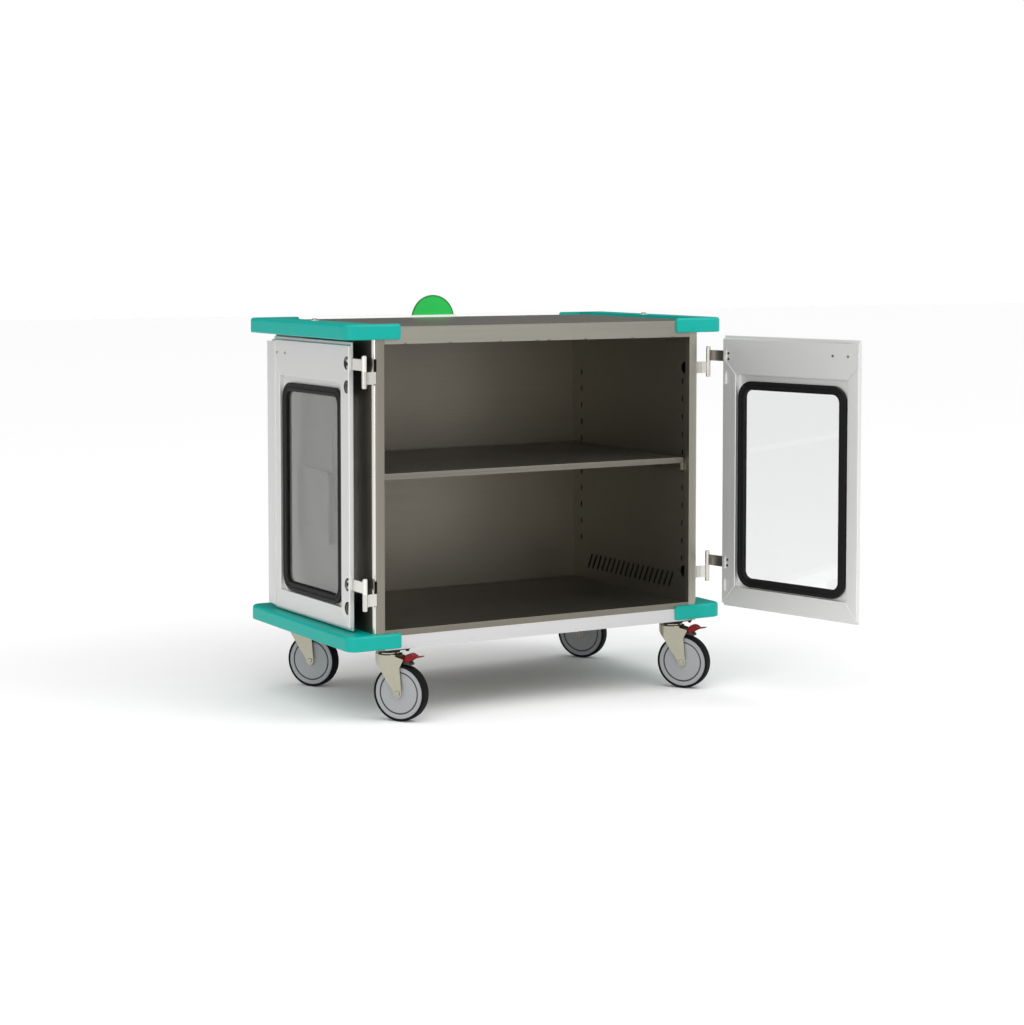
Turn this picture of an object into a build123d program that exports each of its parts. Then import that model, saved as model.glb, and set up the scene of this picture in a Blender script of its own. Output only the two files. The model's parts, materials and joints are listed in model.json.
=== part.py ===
from build123d import *
from math import cos, radians, sin
import os

# Closed case cart with two glazed doors, a pull-out shelf and four casters, in millimetres.
# +X is to the right, the doors face -Y, +Z is up, and the origin is on the floor below the middle.
# It stands as in use: both doors open, the shelf pushed home.

# Cabinet
cabinet_width = 1014
cabinet_depth = 625
post_width = 30.4
post_depth = 18
post_radius = 13
post_wall = 2
sheet = 1.5
base_bottom = 190.8
base_top = 226.7
lip_step = 235
lip_top = 243.5
floor_top = 239.5
rail_bottom = 988.7
deck_bottom = 1032.2
deck_top = 1034.2

# Places worked out from them
side = cabinet_width / 2
front = -cabinet_depth / 2
rear = cabinet_depth / 2
opening_half = side - post_width
liner_inner = opening_half - 0.1
rear_face = rear - 2.5

# Bumpers
bumper_half_width = 585
bumper_half_depth = 322
bumper_corner = 30
bumper_return = 430
top_bumper_low = 1001
top_bumper_high = 1042
low_bumper_low = 195
low_bumper_high = 235

# Doors, hung on pins that stand outside the cabinet's front corners
pin_x = 536.9
pin_y = -317.2
pin_radius = 3.5
knuckle_radius = 6.5
door_from_pin = 64.4
pin_to_inner_face = 12.2
door_width = 469.2
door_thickness = 14
door_low = 246
door_high = 985
flange_low = 238.3
flange_high = 993.6
flange_depth = 8
hinge_stile = 47
free_stile = 36
meeting_stile = 51
window_low = 296
window_high = 887.5
panel_depth = 12.5
left_door_opening = 269.0
right_door_opening = 103.9
hinge_heights = [878, 301.5]

# Latch in the top rail of each door
latch_across = 409
latch_height = 950
bolt_across = 415
bolt_travel = 9
crank_radius = 6.4

# Shelf on telescopic rails
shelf_half = 471
shelf_top = 650
shelf_edge = 16
shelf_front = -290
shelf_depth = 585

# Casters
caster_x = 447
caster_y = 271
wheel_radius = 75
tyre_inner = 68
tyre_width = 32
groove_inner = 52.5
groove_outer = 56.5
trail = 38
swivel = 35
axle_radius = 5
leg_gap = 19
leg_thick = 3
leg_front = 13.4
leg_behind = 54
fork_top = 182
crown_low = 179
crown_radius = 31
kingpin_radius = 7
plate_thick = 3
pedal_pin_behind = 34
pedal_pin_height = 161

os.makedirs("parts", exist_ok=True)


# Front posts: rounded hollow sections with a notch where each hinge leaf goes in.
for name, hand in (("left", -1), ("right", 1)):
    with BuildPart() as post:
        with BuildSketch(Plane.XY.offset(base_bottom)):
            with Locations((hand * (side - post_width / 2), front + post_depth / 2)):
                Rectangle(post_width, post_depth)
            outer_corner = vertices().sort_by(Axis.X)[0 if hand < 0 else -2:][:2].sort_by(Axis.Y)[0]
            fillet(outer_corner, post_radius)
            offset(amount=-post_wall, mode=Mode.SUBTRACT)
        extrude(amount=deck_bottom - base_bottom)
        for knuckle_low in hinge_heights:
            with Locations((hand * (side - 6.5), front + 4.1, knuckle_low + 39.5)):
                Box(18, 6, 66, mode=Mode.SUBTRACT)
    post.part.label = f"front_post_{name}"
    export_step(post.part, f"parts/front_post_{name}.step")

# Rear frame: two posts and the rail that joins them under the deck.
with BuildPart() as rear_frame:
    with BuildSketch(Plane.XY.offset(base_bottom)):
        for hand in (-1, 1):
            with Locations((hand * (side - 14.5), rear - post_depth / 2)):
                Rectangle(29, post_depth)
        outer_corners = vertices().group_by(Axis.Y)[-1].sort_by(Axis.X)
        fillet([outer_corners[0], outer_corners[-1]], post_radius)
    extrude(amount=deck_bottom - base_bottom)
    with BuildSketch(Plane.XY.offset(base_bottom)):
        for hand in (-1, 1):
            with Locations((hand * (side - 14.5), rear - post_depth / 2 - 0.5)):
                Rectangle(29 - 2 * post_wall, post_depth - 2 * post_wall - 1)
    extrude(amount=deck_bottom - base_bottom, mode=Mode.SUBTRACT)
    with Locations((0, rear_face - 11, deck_bottom - 12)):
        Box(2 * (opening_half - 0.1), 20, 24)
        Box(2 * (opening_half - 0.1), 16, 20, mode=Mode.SUBTRACT)
rear_frame.part.label = "rear_frame"
export_step(rear_frame.part, "parts/rear_frame.step")

# Outer side skins between the posts.
with BuildPart() as side_skins:
    for hand in (-1, 1):
        with Locations((hand * (side - sheet / 2), 0, (base_top + deck_bottom) / 2)):
            Box(sheet, cabinet_depth - 2 * post_depth, deck_bottom - base_top)
side_skins.part.label = "side_skins"
export_step(side_skins.part, "parts/side_skins.step")

# Inner liners: two columns of shelf slots, a row of slanted vents and the hinge access holes.
slot_columns = [-277.3, 259.2]
slot_heights = [362.7 + 50 * step for step in range(11)]
vent_places = [-223 + 25.4 * step for step in range(18)]
hinge_access = [327, 901]
with BuildPart() as wall_liners:
    for hand in (-1, 1):
        liner_front = front + post_depth
        with BuildSketch(Plane.YZ.offset(hand * liner_inner)):
            with Locations(((liner_front + rear_face) / 2, (base_top + deck_bottom) / 2)):
                Rectangle(rear_face - liner_front, deck_bottom - base_top)
            with Locations([(y, z) for y in slot_columns for z in slot_heights]):
                SlotOverall(17, 8, rotation=90, mode=Mode.SUBTRACT)
            with Locations([(y, 296) for y in vent_places]):
                SlotOverall(52, 9, rotation=118, mode=Mode.SUBTRACT)
            for height in hinge_access:
                with BuildLine():
                    access = ThreePointArc((-291, height - 16), (-271, height), (-291, height + 16))
                    Line(access @ 1, access @ 0)
                make_face(mode=Mode.SUBTRACT)
        extrude(amount=hand * sheet)
wall_liners.part.label = "wall_liners"
export_step(wall_liners.part, "parts/wall_liners.step")

# Single rear wall.
with BuildPart() as rear_panel:
    with Locations((0, rear_face + sheet / 2, (base_top + deck_bottom) / 2)):
        Box(2 * (liner_inner + sheet), sheet, deck_bottom - base_top)
rear_panel.part.label = "rear_panel"
export_step(rear_panel.part, "parts/rear_panel.step")

# Floor pan: flat floor, raised front lip with a step, and flanges that stand on the base rails.
with BuildPart() as floor_pan:
    with Locations((0, (front + rear_face) / 2, floor_top - sheet / 2)):
        Box(2 * liner_inner, rear_face - front - 4, sheet)
    with Locations((0, front + 1, (lip_step + lip_top) / 2)):
        Box(2 * liner_inner, 2, lip_top - lip_step)
    with Locations((0, front + 2, (base_top + lip_step) / 2)):
        Box(2 * liner_inner, 2, lip_step - base_top)
    with Locations((0, front + 2, lip_step + 0.75)):
        Box(2 * liner_inner, 2, sheet)
    with Locations((0, rear_face - 2.75, (base_top + floor_top) / 2)):
        Box(2 * liner_inner, sheet, floor_top - base_top)
    lip_edges = floor_pan.edges().filter_by(Axis.X).group_by(Axis.Z)[-1]
    fillet(lip_edges, 0.8)
floor_pan.part.label = "floor_pan"
export_step(floor_pan.part, "parts/floor_pan.step")

# Top deck.
with BuildPart() as top_deck:
    with BuildSketch(Plane.XY.offset(deck_bottom)):
        RectangleRounded(cabinet_width, cabinet_depth, post_radius)
    extrude(amount=deck_top - deck_bottom)
top_deck.part.label = "top_deck"
export_step(top_deck.part, "parts/top_deck.step")

# Rail over the doors: hollow, notched along its lower edge, with a hole above each door bolt.
door_bolt_x = pin_x - door_from_pin - bolt_across
with BuildPart() as top_front_rail:
    with BuildSketch(Plane.YZ.offset(-liner_inner)):
        with Locations((front + 14, (rail_bottom + deck_bottom) / 2)):
            Rectangle(28, deck_bottom - rail_bottom)
            Rectangle(24, deck_bottom - rail_bottom - 4, mode=Mode.SUBTRACT)
    extrude(amount=2 * liner_inner)
    for x in (-417, -284, -133, -18, 18, 133, 284, 417):
        with Locations((x, front + 1, rail_bottom)):
            Box(9, 6, 5, mode=Mode.SUBTRACT)
    for x in (-door_bolt_x, door_bolt_x):
        with Locations((x, front + 4.6, rail_bottom)):
            Box(16, 5.2, 6, mode=Mode.SUBTRACT)
top_front_rail.part.label = "top_front_rail"
export_step(top_front_rail.part, "parts/top_front_rail.step")

# Base: hollow aluminium rails all round, with two cross members that carry the casters.
base_middle = (base_bottom + base_top) / 2
base_height = base_top - base_bottom
with BuildPart() as base_front_rail:
    with BuildSketch(Plane.YZ.offset(-opening_half)):
        with Locations((front + 15, base_middle)):
            Rectangle(30, base_height)
            Rectangle(25, base_height - 5, mode=Mode.SUBTRACT)
    extrude(amount=2 * opening_half)
base_front_rail.part.label = "base_front_rail"
export_step(base_front_rail.part, "parts/base_front_rail.step")

with BuildPart() as base_rails:
    with BuildSketch(Plane.YZ.offset(-(side - 29))):
        with Locations((rear - 15, base_middle)):
            Rectangle(30, base_height)
            Rectangle(25, base_height - 5, mode=Mode.SUBTRACT)
    extrude(amount=2 * (side - 29))
    with BuildSketch(Plane.XZ.offset(-(rear - post_depth))):
        for hand in (-1, 1):
            with Locations((hand * (side - 14.5), base_middle)):
                Rectangle(28.8, base_height)
                Rectangle(24, base_height - 5, mode=Mode.SUBTRACT)
    extrude(amount=cabinet_depth - 2 * post_depth)
base_rails.part.label = "base_rails"
export_step(base_rails.part, "parts/base_rails.step")

with BuildPart() as cross_members:
    for hand in (-1, 1):
        with BuildSketch(Plane.YZ.offset(-opening_half + 0.5)):
            with Locations((hand * (rear - 30.2 - 26), base_bottom + 10)):
                Rectangle(52, 20)
                Rectangle(47, 15, mode=Mode.SUBTRACT)
        extrude(amount=2 * opening_half - 1)
cross_members.part.label = "caster_cross_members"
export_step(cross_members.part, "parts/caster_cross_members.step")

# Bumpers: four soft C-shaped mouldings that wrap the ends of the cart, with a crowned top.
bumper_levels = {"bottom": (low_bumper_low, low_bumper_high), "top": (top_bumper_low, top_bumper_high)}
for level, (low, high) in bumper_levels.items():
    for name, hand in (("left", -1), ("right", 1)):
        with BuildPart() as bumper:
            with BuildSketch(Plane.XY.offset(low)):
                RectangleRounded(2 * bumper_half_width, 2 * bumper_half_depth, bumper_corner)
                Rectangle(cabinet_width, cabinet_depth, mode=Mode.SUBTRACT)
                with Locations((hand * (bumper_return - 1000), 0)):
                    Rectangle(2000, 1000, mode=Mode.SUBTRACT)
            extrude(amount=high - low)
            top_face = bumper.faces().sort_by(Axis.Z)[-1]
            low_face = bumper.faces().sort_by(Axis.Z)[0]
            for face, radius in ((top_face, 8), (low_face, 4)):
                outer_edges = face.edges().filter_by(
                    lambda edge: abs(edge.center().Y) > rear + 5 or abs(edge.center().X) > side + 60
                )
                fillet(outer_edges, radius)
        bumper.part.label = f"{level}_bumper_{name}"
        export_step(bumper.part, f"parts/{level}_bumper_{name}.step")

# Steel location stud in the middle of each top bumper.
with BuildPart() as bumper_studs:
    for hand in (-1, 1):
        with Locations((hand * 528, 0, top_bumper_high + 3)):
            Cylinder(7, 6)
        with Locations((hand * 528, 0, top_bumper_high + 0.75)):
            Cylinder(12, 1.5)
    fillet(bumper_studs.edges().group_by(Axis.Z)[-1], 2)
bumper_studs.part.label = "bumper_studs"
export_step(bumper_studs.part, "parts/bumper_studs.step")

# Cabinet half of each hinge: a knuckle, a curved leaf that enters the post, and the pin.
cabinet_hinges = []
for hand in (-1, 1):
    for knuckle_low in hinge_heights:
        with BuildPart() as leaf:
            with BuildSketch(Plane.XY.offset(knuckle_low + 8)):
                with BuildLine():
                    FilletPolyline(
                        (hand * pin_x, pin_y),
                        (hand * (side + 12), front + 4),
                        (hand * (side - 25), front + 4),
                        radius=16,
                    )
                trace(line_width=4)
            extrude(amount=32)
            with BuildSketch(Plane.XY.offset(knuckle_low)):
                with Locations((hand * pin_x, pin_y)):
                    Circle(knuckle_radius)
            extrude(amount=40)
            with Locations((hand * pin_x, pin_y, knuckle_low + 20)):
                Cylinder(pin_radius, 60, mode=Mode.SUBTRACT)
        with BuildPart() as pin:
            with Locations((hand * pin_x, pin_y, knuckle_low + 40.4)):
                Cylinder(pin_radius, 80.8)
            for cap in (knuckle_low - 1.3, knuckle_low + 82.1):
                with Locations((hand * pin_x, pin_y, cap)):
                    Cylinder(knuckle_radius - 0.5, 2.6)
            fillet(pin.edges().group_by(Axis.Z)[-1], 2)
            fillet(pin.edges().group_by(Axis.Z)[0], 2)
        cabinet_hinges += [leaf.part, pin.part]
hinge_cabinet_leaves = Compound(label="hinge_cabinet_leaves", children=cabinet_hinges)
export_step(hinge_cabinet_leaves, "parts/hinge_cabinet_leaves.step")


# Doors. Each is drawn on its own inner face: x runs from the hinge edge, y is the height above the floor.
def make_door(name, hand, opening):
    turn = radians(opening)
    along = Vector(-hand * cos(turn), -sin(turn), 0)
    inward = Vector(-hand * sin(turn), cos(turn), 0)
    outward = -hand
    hinge_edge = Vector(hand * pin_x, pin_y, 0) + along * door_from_pin + inward * pin_to_inner_face
    face = Plane(origin=hinge_edge, x_dir=along, z_dir=inward * hand)
    # The left door carries the stop strip on a wider stile.
    free_edge = door_width - (meeting_stile if hand < 0 else free_stile)
    mitre_hinge = window_high + hinge_stile
    mitre_free = window_high + door_width - free_edge
    leaf_heights = [low + 58.4 for low in hinge_heights]
    crank_shift = crank_radius * sin(radians(45))

    def layer(depth):
        return face.offset(outward * depth)

    def block(x_low, x_high, y_low, y_high, depth_low, depth_high, mode=Mode.ADD):
        with BuildSketch(layer(depth_low)) as area:
            with Locations(((x_low + x_high) / 2, (y_low + y_high) / 2)):
                Rectangle(x_high - x_low, y_high - y_low)
        extrude(area.sketch, amount=outward * (depth_high - depth_low), mode=mode)

    def pocket(height):
        with BuildSketch(layer(0)) as bow_shape:
            with BuildLine():
                bow = ThreePointArc((6, height - 17), (28, height), (6, height + 17))
                Line(bow @ 1, bow @ 0)
            make_face()
        extrude(bow_shape.sketch, amount=outward * 6, mode=Mode.SUBTRACT)

    def leaf_seat():
        for height in leaf_heights:
            block(-1, 32.3, height - 15.2, height + 15.2, 10, 15, Mode.SUBTRACT)
            with BuildSketch(layer(5)) as screw_holes:
                with Locations((16, height - 8), (16, height + 8)):
                    Circle(2.5)
            extrude(screw_holes.sketch, amount=outward * 6, mode=Mode.SUBTRACT)

    def outline(inset, radius, depth_low, depth_high, mode=Mode.ADD):
        seal_width = free_edge - hinge_stile - 13
        with BuildSketch(layer(depth_low)) as ring:
            with Locations(((hinge_stile + free_edge) / 2 - 1.5, 584.5)):
                RectangleRounded(seal_width - 2 * inset, 571 - 2 * inset, radius)
        extrude(ring.sketch, amount=outward * (depth_high - depth_low), mode=mode)

    with BuildPart() as stiles:
        with BuildSketch(layer(0)):
            Polygon(
                (0, door_low), (hinge_stile, window_low), (hinge_stile, window_high), (0, mitre_hinge),
                align=None,
            )
            Polygon(
                (door_width, door_low), (free_edge, window_low), (free_edge, window_high),
                (door_width, mitre_free), align=None,
            )
        extrude(amount=outward * door_thickness)
        leaf_seat()
        for height in (877, 360, 298):
            pocket(height)
    stiles.part.label = f"{name}_door_stiles"
    export_step(stiles.part, f"parts/{name}_door_stiles.step")

    with BuildPart() as rails:
        with BuildSketch(layer(0)):
            Polygon(
                (0, door_low), (door_width, door_low), (free_edge, window_low), (hinge_stile, window_low),
                align=None,
            )
            Polygon(
                (0, mitre_hinge), (hinge_stile, window_high), (free_edge, window_high),
                (door_width, mitre_free),
                (door_width, door_high), (0, door_high), align=None,
            )
        extrude(amount=outward * door_thickness)
        block(0, door_width, flange_low, door_low, flange_depth, door_thickness)
        block(0, door_width, door_high, flange_high, flange_depth, door_thickness)
        leaf_seat()
        pocket(939)
        block(407.6, 422.4, 936, door_high + 1, 1.5, 5.5, Mode.SUBTRACT)
        with BuildSketch(layer(5)):
            with Locations((latch_across, latch_height)):
                Circle(8.05)
        extrude(amount=outward * 10, mode=Mode.SUBTRACT)
        with BuildSketch(layer(0)):
            with Locations((latch_across - 25.5, latch_height), (latch_across + 25.5, latch_height)):
                Circle(2.5)
        extrude(amount=outward * 14, mode=Mode.SUBTRACT)
    rails.part.label = f"{name}_door_rails"
    export_step(rails.part, f"parts/{name}_door_rails.step")

    with BuildPart() as panel:
        block(hinge_stile, free_edge, window_low, window_high, panel_depth, door_thickness)
        outline(12, 34, panel_depth, door_thickness, Mode.SUBTRACT)
    panel.part.label = f"{name}_door_panel"
    export_step(panel.part, f"parts/{name}_door_panel.step")

    with BuildPart() as window:
        outline(16, 30, 11.8, 14.8)
    window.part.label = f"{name}_door_window"
    export_step(window.part, f"parts/{name}_door_window.step")

    # Rubber seal: a round bead inside, a low one outside, with grooves for the panel and the window.
    with BuildPart() as seal:
        outline(0, 46, 2.5, 17)
        outline(24, 22, 2.5, 17, Mode.SUBTRACT)
        inner_side = seal.faces().filter_by(lambda one: abs(one.normal_at().dot(inward)) > 0.99)
        inner_ring = inner_side.sort_by(Axis(hinge_edge, inward))[-1]
        outer_ring = inner_side.sort_by(Axis(hinge_edge, inward))[0]
        fillet(inner_ring.edges(), 9)
        fillet(outer_ring.edges(), 2)
    with BuildPart() as seal_grooves:
        outline(-5, 50, panel_depth, door_thickness)
        outline(12, 34, panel_depth, door_thickness, Mode.SUBTRACT)
        outline(16, 30, 11.8, 14.8)
    seal_solid = seal.part - seal_grooves.part
    seal_solid.label = f"{name}_door_window_seal"
    export_step(seal_solid, f"parts/{name}_door_window_seal.step")

    # Door half of each hinge: knuckle and strap set in the door's outer face, with two screws.
    hinge_pieces = []
    for low, height in zip(hinge_heights, leaf_heights):
        with BuildPart() as strap:
            block(-door_from_pin, 32, height - 14.8, height + 14.8, 10.4, door_thickness)
            with BuildSketch(Plane.XY.offset(low + 40.5)):
                with Locations((hand * pin_x, pin_y)):
                    Circle(knuckle_radius)
            extrude(amount=39.8)
            with Locations((hand * pin_x, pin_y, low + 60)):
                Cylinder(pin_radius + 0.05, 50, mode=Mode.SUBTRACT)
        hinge_pieces.append(strap.part)
        for rise in (-8, 8):
            with BuildPart() as screw:
                with BuildSketch(layer(4)):
                    with Locations((16, height + rise)):
                        RegularPolygon(4.2, 6)
                extrude(amount=outward * 2)
                with BuildSketch(layer(6)):
                    with Locations((16, height + rise)):
                        Circle(2.4)
                extrude(amount=outward * 4)
            hinge_pieces.append(screw.part)
    hinge_leaves = Compound(label=f"{name}_door_hinge_leaves", children=hinge_pieces)
    export_step(hinge_leaves, f"parts/{name}_door_hinge_leaves.step")

    # Latch plate on the outer face, held by two screws that show on the inner face.
    latch_pieces = []
    with BuildPart() as plate:
        with BuildSketch(layer(door_thickness)):
            with Locations((latch_across, latch_height)):
                RectangleRounded(74, 34, 6)
                Circle(8.05, mode=Mode.SUBTRACT)
        extrude(amount=outward * 3)
    latch_pieces.append(plate.part)
    for shift in (-25.5, 25.5):
        with BuildPart() as latch_screw:
            with BuildSketch(layer(-1)):
                with Locations((latch_across + shift, latch_height)):
                    Circle(4)
            extrude(amount=outward * 1)
            with BuildSketch(layer(0)):
                with Locations((latch_across + shift, latch_height)):
                    Circle(2.4)
            extrude(amount=outward * 14)
        latch_pieces.append(latch_screw.part)
    latch = Compound(label=f"{name}_door_latch_plate", children=latch_pieces)
    export_step(latch, f"parts/{name}_door_latch_plate.step")

    # Turn handle: lever, spindle through the door, and the crank that lifts the bolt.
    with BuildPart() as handle:
        with BuildSketch(layer(5.6)):
            with Locations((latch_across, latch_height)):
                Circle(8)
        extrude(amount=outward * 15.4)
        with BuildSketch(layer(17.4)):
            with Locations((latch_across, latch_height)):
                Circle(13)
        extrude(amount=outward * 10)
        with BuildSketch(layer(20)):
            with Locations((latch_across - 29, latch_height)):
                SlotOverall(76, 16)
        extrude(amount=outward * 9)
        fillet(handle.edges().sort_by(Axis(hinge_edge, inward))[:1], 1.5)
        with BuildSketch(layer(2.2)):
            with Locations((latch_across + crank_shift, latch_height - crank_shift)):
                Circle(1.5)
        extrude(amount=outward * 3.4)
    handle.part.label = f"{name}_door_handle"
    export_step(handle.part, f"parts/{name}_door_handle.step")

    with BuildPart() as bolt:
        block(408, 422, 937, door_high - 1, 1.8, 5.2)
        with BuildSketch(layer(1.8)):
            with Locations((414.5, latch_height - crank_shift)):
                SlotOverall(9, 3.8)
        extrude(amount=outward * 3.4, mode=Mode.SUBTRACT)
    bolt.part.label = f"{name}_door_bolt"
    export_step(bolt.part, f"parts/{name}_door_bolt.step")

    # The left door closes first: its strip reaches behind the right door.
    if name == "left":
        with BuildPart() as stop_strip:
            block(446, 468, 250, 980, -3, 0)
            block(468, 492, 250, 980, -3, -0.8)
        stop_strip.part.label = "left_door_stop_strip"
        export_step(stop_strip.part, "parts/left_door_stop_strip.step")


make_door("left", -1, left_door_opening)
make_door("right", 1, right_door_opening)

# Shelf: folded tray with edges turned down, its rim overhanging the runners at the sides.
shelf_back = shelf_front + shelf_depth
shelf_middle = (shelf_front + shelf_back) / 2
with BuildPart() as shelf:
    with Locations((0, shelf_middle, shelf_top - sheet / 2)):
        Box(2 * shelf_half, shelf_depth, sheet)
    with Locations((0, shelf_front + sheet / 2, shelf_top - shelf_edge / 2)):
        Box(2 * shelf_half, sheet, shelf_edge)
    with Locations((0, shelf_back - sheet / 2, shelf_top - shelf_edge / 2)):
        Box(927, sheet, shelf_edge)
    for hand in (-1, 1):
        with Locations((hand * (463.5 - sheet / 2), shelf_middle, shelf_top - shelf_edge)):
            Box(sheet, shelf_depth, 2 * shelf_edge)
    fillet(shelf.edges().filter_by(Axis.X).group_by(Axis.Z)[-1], 1)
    with Locations((0, shelf_front, shelf_top - shelf_edge / 2)):
        Box(2 * shelf_half, 1.6, 2, mode=Mode.SUBTRACT)
shelf.part.label = "shelf"
export_step(shelf.part, "parts/shelf.step")

# Telescopic rails: fixed channel hooked in the liner's slots, middle channel and runner.
with BuildPart() as shelf_runners:
    for hand in (-1, 1):
        with Locations((hand * 465.8, 0.5, 629.5)):
            Box(4.6, 575, 23)
shelf_runners.part.label = "shelf_runners"
export_step(shelf_runners.part, "parts/shelf_runners.step")

with BuildPart() as middle_rails:
    for hand in (-1, 1):
        with Locations((hand * 471.5, -56, 629.5)):
            Box(6, 460, 30.6)
        for z in (615, 644):
            with Locations((hand * 466.4, -56, z)):
                Box(4.4, 460, 1.6)
middle_rails.part.label = "shelf_middle_rails"
export_step(middle_rails.part, "parts/shelf_middle_rails.step")

with BuildPart() as fixed_rails:
    for hand in (-1, 1):
        with Locations((hand * 475.7, 2, 629.5)):
            Box(1.6, 576, 35)
        for z in (612.8, 646.2):
            with Locations((hand * 470.6, 2, z)):
                Box(11.4, 576, 1.6)
        for y in slot_columns:
            with Locations((hand * 478, y, 616)):
                Box(5, 4, 7)
            with Locations((hand * 479.6, y, 612)):
                Box(1.8, 4, 15)
fixed_rails.part.label = "shelf_fixed_rails"
export_step(fixed_rails.part, "parts/shelf_fixed_rails.step")

# Document pocket on the left side.
with BuildPart() as pocket_tray:
    with BuildSketch(Plane.YZ.offset(-side)):
        with Locations((27, 594.5)):
            RectangleRounded(198, 307, 14)
    extrude(amount=-1.5)
    with BuildSketch(Plane.YZ.offset(-side)):
        with Locations((27, 540)):
            RectangleRounded(198, 198, 14)
    extrude(amount=-14)
    with BuildSketch(Plane.YZ.offset(-side - 1.5)):
        with Locations((27, 550)):
            RectangleRounded(195, 215, 12.5)
    extrude(amount=-11, mode=Mode.SUBTRACT)
pocket_tray.part.label = "document_pocket"
export_step(pocket_tray.part, "parts/document_pocket.step")

# Status disc on the rear edge, turning on a pin in its bracket.
disc_centre = 1028
with BuildPart() as disc_bracket:
    with Locations((0, rear_face + sheet + 0.5, 995)):
        Box(150, 1, 65)
    with Locations((0, rear + 1, 1001.5)):
        Box(150, 2, 78)
    with Locations((0, rear + 5, disc_centre)):
        Cylinder(4, 8, rotation=(90, 0, 0))
    with Locations((0, rear + 8.6, disc_centre)):
        Cylinder(8, 1.6, rotation=(90, 0, 0))
disc_bracket.part.label = "disc_bracket"
export_step(disc_bracket.part, "parts/disc_bracket.step")

with BuildPart() as status_disc:
    with BuildSketch(Plane.XZ.offset(-(rear + 4.2))):
        with Locations((0, disc_centre)):
            Circle(70.5)
            Circle(4.05, mode=Mode.SUBTRACT)
    extrude(amount=-3)
status_disc.part.label = "status_disc"
export_step(status_disc.part, "parts/status_disc.step")

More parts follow.
